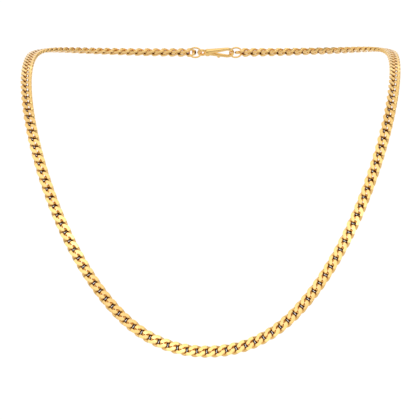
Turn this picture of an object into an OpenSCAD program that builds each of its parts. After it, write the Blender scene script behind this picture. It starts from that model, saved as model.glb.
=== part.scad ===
// Curb chain necklace in worn form: a closed loop of flat twisted links, two
// closed rings and a plain clasp behind the neck. Millimetres throughout.
// +x runs across, -y is the front of the wearer, +z is up. The origin is at the
// nape, where the inside of the clasp rests, and the links hang in front of it.

/* [Links] */

// links on each side of the middle link
side_links = 73; // [72:1:73]

// overall length of one link along the chain
link_len = 6.85; // [6.8:0.05:6.9]

// overall width of one link, which is the width of the chain
link_w = 4.3; // [4.2:0.05:4.5]

// thickness of the round wire a link is bent from
wire_d = 1.56; // [1.5:0.02:1.6]

// thickness between the two filed faces
chain_t = 1.6; // [1.56:0.02:1.66]

// how far the twist lifts a quarter of the link off its middle plane, measured
// before the faces are filed
twist_lift = 1.15; // [1.12:0.01:1.2]

/* [Closing] */

// middle radius of the two joining rings
ring_r = 2.5; // [2.45:0.05:2.55]

// thickness of the ring wire
ring_wire = 0.7; // [0.6:0.05:0.75]

// distance of each ring's centre from the middle of the clasp
ring_at = 8.45; // [8.4:0.05:8.5]

// how far from the middle of the last link its ring passes through it
ring_seat = 0.6; // [0.55:0.05:0.65]

// middle radius of the clasp's hook
hook_r = 2.3; // [2.2:0.05:2.4]

// thickness of the hook at its round end
hook_wire = 1.3; // [1.2:0.05:1.4]

// middle radius of the small eye at the clasp's tail
eye_r = 1.45; // [1.4:0.05:1.5]

// thickness of the eye
eye_wire = 1.1; // [1:0.05:1.1]

// radius of the clasp's rounded tail
tail_r = 1.6; // [1.4:0.1:1.7]

/* [Hidden] */

$fn = 64;

gold = [0.87, 0.68, 0.28];
wire_r = wire_d / 2;
half_t = chain_t / 2;

// Half of the path that the middles of the links follow, from the lowest point
// in front to the nape. The other half is its mirror image.
// face is the way the flat side of the chain looks: 0 forward, 90 up, 180 back.
path_rows = [
    // across, forward, below, face
    [0, 121, 118, 17],
    [26.5, 120.5, 110.5, 17],
    [46.5, 119, 84.5, 17],
    [58.5, 114, 58.5, 25],
    [66.5, 102, 34, 36],
    [70.5, 83.5, 15.5, 54],
    [71.5, 59, 4.5, 100],
    [70, 34, -0.5, 104],
    [53.5, 12, -1, 108],
    [28, 0.5, -1, 114],
    [0, -2, -1, 130],
];
last_row = len(path_rows) - 1;

// Control point i of the path, with the mirrored ones beyond both ends.
function control(i) =
    let (k = i < 0 ? -i : i > last_row ? 2 * last_row - i : i,
         side = i < 0 || i > last_row ? -1 : 1,
         row = path_rows[k])
    [side * row[0], -row[1], -row[2], row[3]];

// Smooth curve through the rows, where u counts rows from the front.
function curve(u) =
    let (i = min(floor(u), last_row - 1), f = u - i)
    (pow(1 - f, 3) * control(i - 1)
        + (3 * pow(f, 3) - 6 * f * f + 4) * control(i)
        + (-3 * pow(f, 3) + 3 * f * f + 3 * f + 1) * control(i + 1)
        + pow(f, 3) * control(i + 2)) / 6;

// The curve is measured in short steps, so that places can be looked up by
// their distance along it.
steps = 400;
samples = [for (j = [0 : steps]) curve(j * last_row / steps)];

function place_of(sample) = [sample[0], sample[1], sample[2]];

travel = [
    for (j = 0, run = 0; j <= steps;
         j = j + 1,
         run = run + (j <= steps ? norm(place_of(samples[j]) - place_of(samples[j - 1])) : 0))
        run
];
half_run = travel[steps];

function column(c) = [for (j = [0 : steps]) [travel[j], samples[j][c]]];
along_x = column(0);
along_y = column(1);
along_z = column(2);
along_face = column(3);

// Distance s is zero at the lowest point, positive to the right and negative
// to the left. Past the nape it comes back on the other side.
function folded(s) = abs(s) > half_run ? 2 * half_run - abs(s) : abs(s);
function spot(s) =
    let (q = folded(s), side = (s < 0) == (abs(s) > half_run) ? 1 : -1)
    [side * lookup(q, along_x), lookup(q, along_y), lookup(q, along_z)];
function unit(v) = v / norm(v);

// Frame of the path at s: along the chain, across it and out of its face.
module at_distance(s) {
    reach = 0.4;
    along = unit(spot(s + reach) - spot(s - reach));
    face = lookup(folded(s), along_face);
    toward = [0, -cos(face), sin(face)];
    out = unit(toward - (toward * along) * along);
    across = cross(out, along);
    p = spot(s);
    multmatrix([
        [along[0], across[0], out[0], p[0]],
        [along[1], across[1], out[1], p[1]],
        [along[2], across[2], out[2], p[2]],
        [0, 0, 0, 1],
    ]) children();
}

// One link. Its wire follows an oval that falls and rises twice on the way
// round, and everything above and below the two faces is filed away flat. Seen
// from its face a link is high at the upper left and at the lower right.
link_sides = 10;
oval_a = link_len / 2 - wire_r;
oval_b = (link_w / 2 - wire_r) / cos(180 / link_sides);

// Highest angle round the wire that is still under the face, for a wire whose
// middle lies rise off the middle plane.
function under_face(rise, steepest) =
    min(asin(max(-1, min(1, (half_t - rise) / wire_r))), steepest);

// How far the wire's middle lies off the middle plane at angle t round the oval.
// The rise is a little flatter at the top than a sine.
function rise_at(t) =
    let (u = sin(2 * t))
    -twist_lift * u * (1.1 - 0.1 * u * u);

// Corners of the wire's cross-section as [outward, up], from the lower outer
// one round over the top. The outer side has a corner at its middle.
outer_steep = 58;
inner_steep = 45;
function section(rise) =
    let (top = under_face(rise, outer_steep),
         low = under_face(-rise, outer_steep),
         top_in = under_face(rise, inner_steep),
         low_in = under_face(-rise, inner_steep),
         middle = (top - low) / 2)
    [
        [cos(low), -sin(low)],
        [cos(middle), sin(middle)],
        [cos(top), sin(top)],
        [-cos(top_in), sin(top_in)],
        [-cos(low_in), -sin(low_in)],
    ];
corners = 5;

link_points = [
    for (i = [0 : link_sides - 1])
        let (t = i * 360 / link_sides,
             rise = rise_at(t),
             n = unit([cos(t) / oval_a, sin(t) / oval_b]))
        for (c = section(rise))
            [oval_a * cos(t) + n[0] * c[0] * wire_r,
             oval_b * sin(t) + n[1] * c[0] * wire_r,
             rise + c[1] * wire_r]
];

function point_no(i, c) = (i % link_sides) * corners + c % corners;
link_faces = [
    for (i = [0 : link_sides - 1], c = [0 : corners - 1], half = [0, 1])
        half == 0
            ? [point_no(i, c), point_no(i, c + 1), point_no(i + 1, c)]
            : [point_no(i, c + 1), point_no(i + 1, c + 1), point_no(i + 1, c)]
];

module link() {
    polyhedron(points = link_points, faces = link_faces);
}

// The pitch shares out what the closing parts leave of the path.
last_link_at = ring_at + ring_r + ring_seat;
pitch = (half_run - last_link_at) / side_links;

module links_from(first, last) {
    color(gold)
        for (k = [first : last])
            at_distance(k * pitch) link();
}

// The middle link belongs to the left stretch.
module chain_left() {
    links_from(-side_links, 0);
}

module chain_right() {
    links_from(1, side_links);
}

// A round ring that stands on edge, so that it holds a flat link and the clasp.
module joining_ring() {
    color(gold)
        rotate([90, 0, 0])
            rotate_extrude()
                translate([ring_r, 0]) circle(r = ring_wire / 2);
}

module clasp_ring() {
    at_distance(-(half_run - ring_at)) joining_ring();
}

module end_ring() {
    at_distance(half_run - ring_at) joining_ring();
}

// A tapered rod between two points of the clasp's middle plane.
module rod(from, to, r_from, r_to) {
    d = to - from;
    translate([from[0], from[1], 0])
        rotate([0, 90, atan2(d[1], d[0])])
            cylinder(h = norm(d), r1 = r_from, r2 = r_to);
}

// The clasp in one piece: a round hook, two arms that close to a rounded tail,
// a thumb knob on the thinner arm and a small eye.
seat_gap = 0.2;
held_at = ring_at - ring_r + ring_wire / 2 + seat_gap;
hook_x = -(held_at + hook_wire / 2 - hook_r);
eye_x = held_at + eye_wire / 2 - eye_r;
tail_x = 3.3;
module clasp() {
    color(gold)
        at_distance(half_run)
            union() {
                translate([hook_x, 0, 0])
                    intersection() {
                        rotate_extrude()
                            translate([hook_r, 0]) circle(r = hook_wire / 2);
                        translate([-4, -4, -2]) cube([4.2, 8, 4]);
                    }
                rod([hook_x, hook_r], [tail_x, 0.5], hook_wire / 2 + 0.05, 1.2);
                rod([hook_x, -hook_r], [tail_x, -0.5], hook_wire / 2 + 0.03, 0.8);
                translate([hook_x + 3.6, -2.5, 0]) sphere(r = 0.7);
                translate([tail_x, 0, 0]) sphere(r = tail_r);
                translate([eye_x, 0, 0])
                    rotate_extrude()
                        translate([eye_r, 0]) circle(r = eye_wire / 2);
            }
}

chain_left();
chain_right();
clasp_ring();
end_ring();
clasp();
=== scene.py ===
import bpy
import numpy as np
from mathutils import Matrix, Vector


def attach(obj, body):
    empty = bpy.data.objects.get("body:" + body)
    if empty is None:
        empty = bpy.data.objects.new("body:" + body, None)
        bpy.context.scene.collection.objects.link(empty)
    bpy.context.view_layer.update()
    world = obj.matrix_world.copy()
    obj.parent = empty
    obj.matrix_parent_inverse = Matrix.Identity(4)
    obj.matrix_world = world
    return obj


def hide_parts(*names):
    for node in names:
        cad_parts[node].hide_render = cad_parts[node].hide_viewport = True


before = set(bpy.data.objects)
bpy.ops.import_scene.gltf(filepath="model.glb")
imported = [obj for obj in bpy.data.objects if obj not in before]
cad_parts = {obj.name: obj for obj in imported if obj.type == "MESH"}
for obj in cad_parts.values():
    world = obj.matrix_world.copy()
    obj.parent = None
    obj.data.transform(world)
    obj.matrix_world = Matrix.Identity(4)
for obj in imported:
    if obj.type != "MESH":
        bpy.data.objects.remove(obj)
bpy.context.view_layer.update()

# The chain

# A flat curb chain of solid 18-carat gold: oval links of round wire, each
# twisted a little so that they lie flat in a row, then filed flat on both
# faces and polished. It hangs in worn form, from the nape down to the chest.

MM = 0.001

# half of the line through the middles of the links, from the lowest point in
# front round to the nape; face turns from 0, looking forward, to 90, up
worn_line = np.array(
    [
        # across, forward, below, face
        (0, 121, 118, 17),
        (26.5, 120.5, 110.5, 17),
        (46.5, 119, 84.5, 17),
        (58.5, 114, 58.5, 25),
        (66.5, 102, 34, 36),
        (70.5, 83.5, 15.5, 54),
        (71.5, 59, 4.5, 100),
        (70, 34, -0.5, 104),
        (53.5, 12, -1, 108),
        (28, 0.5, -1, 114),
        (0, -2, -1, 130),
    ],
    float,
)


def smooth_line(rows, steps=400):
    """Uniform cubic B-spline through the mirrored rows, as x, y, z, face in even steps."""
    rows = rows * (1, -1, -1, 1)
    other = rows * (-1, 1, 1, 1)
    ring = np.vstack([other[1], rows, other[-2], other[-3]])
    u = np.arange(steps + 1) * (len(rows) - 1) / steps
    i = np.minimum(u.astype(int), len(rows) - 2)
    f = (u - i)[:, None]
    weights = (
        (1 - f) ** 3,
        3 * f**3 - 6 * f**2 + 4,
        -3 * f**3 + 3 * f**2 + 3 * f + 1,
        f**3,
    )
    return sum(w * ring[i + k] for k, w in enumerate(weights)) / 6


line = smooth_line(worn_line)
run = np.append(0, np.cumsum(np.linalg.norm(np.diff(line[:, :3], axis=0), axis=1)))
half_run = run[-1]


def spot(s):
    """Point of the line at distance s from the lowest point, positive to the right."""
    past = np.abs(s) > half_run
    q = np.where(past, 2 * half_run - np.abs(s), np.abs(s))
    side = np.where((s < 0) == past, 1, -1)
    return np.stack([side * np.interp(q, run, line[:, 0]),
                     np.interp(q, run, line[:, 1]),
                     np.interp(q, run, line[:, 2])], axis=-1)


def unit(v):
    """Each vector of an array divided by its length."""
    return v / np.linalg.norm(v, axis=-1, keepdims=True)


def seats(s):
    """Places at distances s: the point, and the directions along, across and out of the face."""
    along = unit(spot(s + 0.4) - spot(s - 0.4))
    q = np.where(np.abs(s) > half_run, 2 * half_run - np.abs(s), np.abs(s))
    face = np.radians(np.interp(q, run, line[:, 3]))
    toward = np.stack([0 * face, -np.cos(face), np.sin(face)], axis=-1)
    out = unit(toward - (toward * along).sum(-1, keepdims=True) * along)
    return spot(s), along, np.cross(out, along), out


def seated(shape, s):
    """Copies of a shape in mm, an array of points, put at each distance s and given in metres."""
    point, along, across, out = seats(s)
    axes = np.stack([along, across, out], axis=1)
    return (point[:, None] + np.einsum("pk,nkx->npx", shape, axes)) * MM


# middle radius and wire of the two joining rings, how far their centres lie
# from the middle of the clasp, and how far from the middle of the last link a
# ring passes through it
ring_r, ring_wire = 2.5, 0.7
ring_at, ring_seat = 8.45, 0.6

side_links = 73
pitch = (half_run - ring_at - ring_r - ring_seat) / side_links

# one link: its length and width, half of the wire's width and height, half of
# the thickness between the faces, and how far the twist lifts the wire
link_len, link_w = 7.15, 4.3
wire_half_w, wire_half_h = 0.84, 1.05
half_t, lift = 0.8, 1.3

# how square the oval is, and then the wire: its inner side beside the hole, its
# inner side at the link's ends, and its outer side; 2 is round, more is squarer
oval_power = 2.4
hole_power, flank_power, end_power = 1.3, 2.6, 2.6

# depth of the bevel towards the holes and the height where it starts, how much
# fuller the wire is outside where the twist is most and inside at the link's
# ends, and how far the faces fall away towards the edges of the chain
bevel, bevel_from = 0.6, 0.3
overlap, snug = 0.12, 0.07
crown = 0.1

# half of the length and width of a hole between two links
hole_x, hole_y = 0.6, 1.05


def tube_faces(turns, corners):
    """Outward quads of a closed tube whose points run round the section first."""
    i = np.repeat(np.arange(turns), corners)
    j = np.tile(np.arange(corners), turns)
    a, b = i * corners, (i + 1) % turns * corners
    k = (j + 1) % corners
    return np.stack([a + j, b + j, b + k, a + k], axis=1)


def ramp(value, full, none):
    """1 where |value| is under full, 0 where it is over none, and a smooth step between."""
    f = np.clip((none - np.abs(value)) / (none - full), 0, 1)
    return f * f * (3 - 2 * f)


def flank(power, rise, arc):
    """One side of the wire between the faces, |o / half_w|^power + |z / half_h|^power = 1."""
    high = np.clip((half_t - rise) / wire_half_h, -1, 1)
    low = np.clip((half_t + rise) / wire_half_h, -1, 1)
    end = np.radians(85)
    top = np.sign(high) * np.minimum(np.arcsin(np.abs(high) ** (power / 2)), end)
    bottom = np.sign(low) * np.minimum(np.arcsin(np.abs(low) ** (power / 2)), end)
    turn = -bottom[:, None] + np.linspace(0, 1, arc) * (top + bottom)[:, None]
    bend = (2 / power)[:, None]
    o = wire_half_w * np.cos(turn) ** bend
    z = wire_half_h * np.sign(turn) * np.abs(np.sin(turn)) ** bend + rise[:, None]
    return o, z


def link_shape(turns=48, arc=7):
    """Squarish oval of wire, |x / a|^p + |y / b|^p = 1, filed flat at both faces.

    The wire rises by -lift u (3 - u u) / 2 with u = sin 2t, and it is bevelled
    towards the holes. The faces fall away by crown (2 y / w)^2.
    """
    t = np.arange(turns) * 2 * np.pi / turns
    a, b = link_len / 2 - wire_half_w, link_w / 2 - wire_half_w
    c, s = np.cos(t), np.sin(t)
    r = (np.abs(c) ** oval_power + np.abs(s) ** oval_power) ** (-1 / oval_power)
    x, y = a * r * c, b * r * s
    n = unit(np.stack([np.sign(c) * np.abs(r * c) ** (oval_power - 1) / a,
                       np.sign(s) * np.abs(r * s) ** (oval_power - 1) / b], axis=1))
    u = np.sin(2 * t)
    rise = -lift * u * (3 - u * u) / 2

    out_o, out_z = flank(end_power + 0 * c, rise, arc)
    in_o, in_z = flank(flank_power + (hole_power - flank_power) * s**2, rise, arc)
    swell = overlap * np.clip((np.abs(rise) - 0.5) / 0.5, 0, 1) * ramp(y, 0.8, 1.15)
    out_o = out_o * (1 + swell / wire_half_w)[:, None]
    cut_out = bevel * ramp(y, 0.95, 1.25)[:, None]
    cut_in = bevel * ramp(x, 1.0, 1.9)[:, None]
    above_out = np.clip((np.abs(out_z) - bevel_from) / (half_t - bevel_from), 0, 1)
    above_in = np.clip((np.abs(in_z) - bevel_from) / (half_t - bevel_from), 0, 1)
    out_o = np.minimum(out_o, wire_half_w + swell[:, None] - cut_out * above_out)
    in_o = np.minimum(in_o, wire_half_w - cut_in * above_in)
    in_o = -in_o - snug * ramp(y, 0.3, 1.0)[:, None]

    w = np.array([0.25, 0.5, 0.75])
    top_o = out_o[:, -1:] * (1 - w) + in_o[:, -1:] * w
    top_z = out_z[:, -1:] * (1 - w) + in_z[:, -1:] * w
    low_o = out_o[:, :1] * w + in_o[:, :1] * (1 - w)
    low_z = out_z[:, :1] * w + in_z[:, :1] * (1 - w)
    o = np.hstack([out_o, top_o, in_o[:, ::-1], low_o])
    z = np.hstack([out_z, top_z, in_z[:, ::-1], low_z])
    x, y = x[:, None] + n[:, :1] * o, y[:, None] + n[:, 1:] * o
    z = z * (1 - crown * (2 * y / link_w) ** 2)
    points = np.stack([x, y, z], axis=-1).reshape(-1, 3)
    return points, tube_faces(turns, o.shape[1])


def painted_shade_of(points):
    """Painted shade mask: how far each point lies down one of the holes of the middle line, 0 at the
    faces to 1.
    """
    x, y, z = points.T
    from_hole = x - pitch * np.round(x / pitch)
    within = ramp(from_hole, hole_x, hole_x + 0.2) * ramp(y, hole_y, hole_y + 0.2)
    face_z = half_t * (1 - crown * (2 * y / link_w) ** 2)
    corner = ramp(from_hole, hole_x - 0.25, hole_x) * ramp(y, hole_y - 0.25, hole_y)
    return np.maximum(corner, within * np.clip((face_z - np.abs(z)) / 0.2, 0, 1))


def make_piece(name, points, faces, material, replaces, painted_shade=None):
    """A mesh object from points in metres and quads, smooth up to edges of 25 degrees."""
    mesh = bpy.data.meshes.new(name)
    mesh.vertices.add(len(points))
    mesh.vertices.foreach_set("co", points.astype(np.float32).ravel())
    mesh.loops.add(faces.size)
    mesh.loops.foreach_set("vertex_index", faces.astype(np.int32).ravel())
    mesh.polygons.add(len(faces))
    mesh.polygons.foreach_set("loop_start", np.arange(0, faces.size, 4, dtype=np.int32))
    mesh.polygons.foreach_set("use_smooth", np.ones(len(faces), bool))
    mesh.update(calc_edges=True)
    mesh.validate()
    mesh.set_sharp_from_angle(angle=np.radians(25))
    # painted shade down the holes, kept on the points for the gold's colour
    if painted_shade is not None:
        depths = mesh.attributes.new("painted_shade", "FLOAT", "POINT").data
        depths.foreach_set("value", painted_shade.astype(np.float32))
    mesh.materials.append(material)
    piece = bpy.data.objects.new(name, mesh)
    bpy.context.scene.collection.objects.link(piece)
    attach(piece, "root")
    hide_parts(replaces)
    return piece


def linear(hexa, alpha=1.0):
    """An sRGB hex colour as the linear numbers that the shader takes."""
    c = np.array([int(hexa[i : i + 2], 16) for i in (1, 3, 5)]) / 255
    c = np.where(c <= 0.04045, c / 12.92, ((c + 0.055) / 1.055) ** 2.4)
    return (*map(float, c), alpha)


def add_node(tree, kind, settings=None, **links):
    """Adds a node, sets inputs and properties by name, and links inputs to outputs."""
    node = tree.nodes.new(kind)
    for key, value in (settings or {}).items():
        if key in node.inputs:
            node.inputs[key].default_value = value
        else:
            setattr(node, key, value)
    for key, output in links.items():
        tree.links.new(node.inputs[key.replace("_", " ")], output)
    return node


def polished_gold():
    """18-carat yellow gold, filed and buffed, with fine buffing lines and faint clouding.

    A dark brown is painted down the holes between the links as painted shade.
    """
    material = bpy.data.materials.new("polished 18-carat yellow gold")
    material.use_nodes = True
    tree = material.node_tree
    tree.nodes.clear()
    place = add_node(tree, "ShaderNodeTexCoord")
    cloud = add_node(
        tree, "ShaderNodeTexNoise", {"Scale": 160.0, "Detail": 3.0},
        Vector=place.outputs["Object"],
    )
    tone = add_node(tree, "ShaderNodeValToRGB", Fac=cloud.outputs["Fac"])
    tone.color_ramp.elements[0].color = linear("#F4C674")
    tone.color_ramp.elements[1].color = linear("#FAD28C")
    depth = add_node(tree, "ShaderNodeAttribute", {"attribute_name": "painted_shade"})
    painted_shade_mix = add_node(tree, "ShaderNodeMix", {"data_type": "RGBA"})
    tree.links.new(painted_shade_mix.inputs[0], depth.outputs["Fac"])
    tree.links.new(painted_shade_mix.inputs[6], tone.outputs["Color"])
    # dark brown of the painted shade down the holes between the links
    painted_shade_mix.inputs[7].default_value = linear("#804600")
    squeeze = add_node(
        tree, "ShaderNodeMapping", {"Scale": (1.0, 1.0, 14.0)},
        Vector=place.outputs["Object"],
    )
    buffing = add_node(
        tree, "ShaderNodeTexNoise", {"Scale": 900.0, "Detail": 4.0},
        Vector=squeeze.outputs["Vector"],
    )
    rough = add_node(
        tree, "ShaderNodeMapRange", {"To Min": 0.10, "To Max": 0.22},
        Value=buffing.outputs["Fac"],
    )
    bump = add_node(
        tree, "ShaderNodeBump", {"Strength": 0.06, "Distance": 0.00005},
        Height=buffing.outputs["Fac"],
    )
    shader = add_node(
        tree, "ShaderNodeBsdfPrincipled", {"Metallic": 1.0},
        Base_Color=painted_shade_mix.outputs[2], Roughness=rough.outputs["Result"], Normal=bump.outputs["Normal"],
    )
    add_node(tree, "ShaderNodeOutputMaterial", Surface=shader.outputs["BSDF"])
    return material


gold = polished_gold()

link_points, link_faces = link_shape()
for name, first, last in (("chain_left", -side_links, 0), ("chain_right", 1, side_links)):
    s = np.arange(first, last + 1) * pitch
    points = seated(link_points, s)
    faces = link_faces + (np.arange(len(s)) * len(link_points))[:, None, None]
    # painted shade down the holes of each link
    painted_shade = np.tile(painted_shade_of(link_points), len(s))
    make_piece(name + "_links", points.reshape(-1, 3), faces.reshape(-1, 4), gold, name, painted_shade)

# The closing

# Two round rings of gold wire, soldered shut, hold the clasp to the ends of
# the chain. The clasp is cast in one piece. All are buffed like the links.

# middle radius and wire of the hook and of the eye, and the rounded tail's
# radius and its distance from the middle of the clasp
hook_r, hook_wire = 2.3, 1.3
eye_r, eye_wire = 1.45, 1.1
tail_r, tail_x = 1.6, 3.3

# gap between a ring and the inside of the hook or the eye
seat_gap = 0.2
held_at = ring_at - ring_r + ring_wire / 2 + seat_gap
hook_x = hook_r - held_at - hook_wire / 2
eye_x = held_at + eye_wire / 2 - eye_r


def torus(radius, wire, turns=64, corners=20):
    """Points ((R + r cos v) cos u, (R + r cos v) sin u, r sin v) of a round ring, and its quads."""
    round_ring = np.arange(turns) * 2 * np.pi / turns
    round_wire = np.arange(corners) * 2 * np.pi / corners
    u, v = np.meshgrid(round_ring, round_wire, indexing="ij")
    reach = radius + wire / 2 * np.cos(v)
    points = np.stack([reach * np.cos(u), reach * np.sin(u), wire / 2 * np.sin(v)], axis=-1)
    return points.reshape(-1, 3), tube_faces(turns, corners)


def rod(path, radii, corners=20):
    """A round rod along a path in the plane z = 0, p + r (cos v side + sin v up).

    It has a radius r at each point p, and flat ends closed by strips of quads.
    """
    along = unit(np.gradient(path, axis=0))
    v = np.arange(corners) * 2 * np.pi / corners
    side = np.stack([-along[:, 1], along[:, 0]], axis=1)
    flat = path[:, None] + radii[:, None, None] * np.cos(v)[None, :, None] * side[:, None]
    z = radii[:, None] * np.sin(v)
    points = np.concatenate([flat, z[..., None]], axis=-1).reshape(-1, 3)
    walls = tube_faces(len(path), corners)[: (len(path) - 1) * corners, ::-1]
    j = np.arange(corners // 2 - 1)
    strip = np.stack([j, j + 1, corners - 2 - j, corners - 1 - j], axis=1)
    far_end = strip + (len(path) - 1) * corners
    return points, np.vstack([walls, strip[:, ::-1], far_end])


def ball(x, y, radius, steps=24, pole=0.03):
    """A ball as a rod along x whose radius is sqrt(R R - d d), flat within pole radians."""
    d = -np.cos(np.linspace(pole, np.pi - pole, steps)) * radius
    return rod(np.stack([x + d, y + 0 * d], axis=1), np.sqrt(radius**2 - d**2))


def merged(shapes):
    """Several point and face arrays as one."""
    starts = np.cumsum([0] + [len(points) for points, faces in shapes])
    all_points = np.vstack([points for points, faces in shapes])
    all_faces = np.vstack([faces + start for (points, faces), start in zip(shapes, starts)])
    return all_points, all_faces


ring_points, ring_faces = torus(ring_r, ring_wire)
ring_points = ring_points[:, (0, 2, 1)] * (1, -1, 1)
for name, side in (("clasp_ring", -1), ("end_ring", 1)):
    points = seated(ring_points, np.array([side * (half_run - ring_at)]))[0]
    make_piece(name + "_wire", points, ring_faces, gold, name)

# the hook runs on into the clasp's thicker arm; the thinner arm carries the
# thumb knob, and both end in the rounded tail with the eye behind it
bend = np.radians(np.linspace(-90, -270, 33))
hook = np.stack([hook_x + hook_r * np.cos(bend), hook_r * np.sin(bend)], axis=1)
reach = np.linspace(0, 1, 24)[1:, None]
arm = hook[-1] + ((tail_x, 0.5) - hook[-1]) * reach
arm_radii = np.append(np.full(len(hook), hook_wire / 2), np.linspace(0.67, 1.2, len(arm)))
thick_arm = rod(np.vstack([hook, arm]), arm_radii)
gate = hook[0] + ((tail_x, -0.5) - hook[0]) * np.linspace(-0.02, 1, 25)[:, None]
thin_arm = rod(gate, np.linspace(0.68, 0.8, len(gate)))
thumb_knob = ball(hook_x + 3.6, -2.5, 0.7)
tail = ball(tail_x, 0, tail_r)
eye_points, eye_faces = torus(eye_r, eye_wire)
eye = (eye_points + (eye_x, 0, 0), eye_faces)
clasp_points, clasp_faces = merged([thick_arm, thin_arm, thumb_knob, tail, eye])
make_piece("clasp_body", seated(clasp_points, np.array([half_run]))[0], clasp_faces, gold, "clasp")

# Floor, light and camera

# A plain white floor and backdrop that glow like lit acrylic, soft lamps above
# and beside the camera, and the camera level with the chain at the photo's angle.

backlit = bpy.data.materials.new("white acrylic lit from behind")
backlit.use_nodes = True
surface = backlit.node_tree.nodes["Principled BSDF"]
surface.inputs["Base Color"].default_value = linear("#202020")
surface.inputs["Emission Color"].default_value = linear("#FFFFFF")
surface.inputs["Emission Strength"].default_value = 1.0

lit_table = backlit.copy()
lit_table.name = "white acrylic table lit from below"
lit_table.node_tree.nodes["Principled BSDF"].inputs["Emission Strength"].default_value = 0.8


def sheet(name, corners, material):
    """A flat four-cornered stage sheet."""
    mesh = bpy.data.meshes.new(name)
    mesh.from_pydata(corners, [], [(0, 1, 2, 3)])
    mesh.materials.append(material)
    piece = bpy.data.objects.new(name, mesh)
    bpy.context.scene.collection.objects.link(piece)


sheet("floor", [(-2, -1.2, -0.4), (2, -1.2, -0.4), (2, 1.4, -0.4), (-2, 1.4, -0.4)], lit_table)
sheet("backdrop", [(-2, 1.4, -0.4), (2, 1.4, -0.4), (2, 1.4, 1.8), (-2, 1.4, 1.8)], backlit)

bpy.context.scene.view_settings.view_transform = "Standard"

world = bpy.data.worlds.new("studio")
bpy.context.scene.world = world
world.use_nodes = True
sky = world.node_tree.nodes["Background"]
sky.inputs["Color"].default_value = linear("#F6F8FF")
sky.inputs["Strength"].default_value = 0.42


def softbox(name, place, aim, size, glow, colour="#FFFFFF"):
    """A square soft lamp at place, turned towards aim, in metres, of radiance glow.

    An area lamp's power is pi glow size size, and a glow of 1 looks white.
    """
    light = bpy.data.lights.new(name, "AREA")
    light.size = size
    light.energy = glow * np.pi * size**2
    light.color = linear(colour)[:3]
    holder = bpy.data.objects.new(name, light)
    holder.location = place
    holder.rotation_euler = (Vector(aim) - Vector(place)).to_track_quat("-Z", "Y").to_euler()
    bpy.context.scene.collection.objects.link(holder)


middle = (0.0, -0.09, -0.06)
softbox("softbox_over_camera", (0.0, -0.98, 0.78), middle, 1.6, 0.68)
softbox("softbox_overhead", (0.0, 0.3, 1.5), middle, 1.8, 0.6)
left_of_middle = (-0.0144, -0.119, -0.117)
right_arm = (0.055, -0.118, -0.06)
softbox("spot_left_of_middle", (0.078, -1.0, 0.348), left_of_middle, 0.12, 2.0, "#E6EEFF")
softbox("spot_right_arm", (-0.074, -1.036, 0.315), right_arm, 0.4, 0.5, "#DCE8FF")
softbox("softbox_upper", (0.0, -0.9, 0.9), middle, 0.9, 0.35, "#E6EEFF")
softbox("softbox_left", (-1.15, -0.35, 0.1), middle, 1.1, 0.6)
softbox("softbox_right", (1.15, -0.35, 0.1), middle, 1.1, 0.6)

camera = bpy.data.cameras.new("camera")
image_px, focal_px = 420, 2388
camera.sensor_width = 36.0
camera.lens = camera.sensor_width * focal_px / image_px
camera.dof.use_dof = False
view_from = bpy.data.objects.new("camera", camera)
bpy.context.scene.collection.objects.link(view_from)
bpy.context.scene.camera = view_from
azimuth, elevation, distance = np.radians(1.64), np.radians(0.25), 0.9
target = Vector((0.00035, -0.091, -0.064))
away = Vector((
    np.sin(azimuth) * np.cos(elevation),
    -np.cos(azimuth) * np.cos(elevation),
    np.sin(elevation),
))
view_from.location = target + away * distance
view_from.rotation_euler = away.to_track_quat("Z", "Y").to_euler()
camera.clip_start, camera.clip_end = 0.01, 20.0
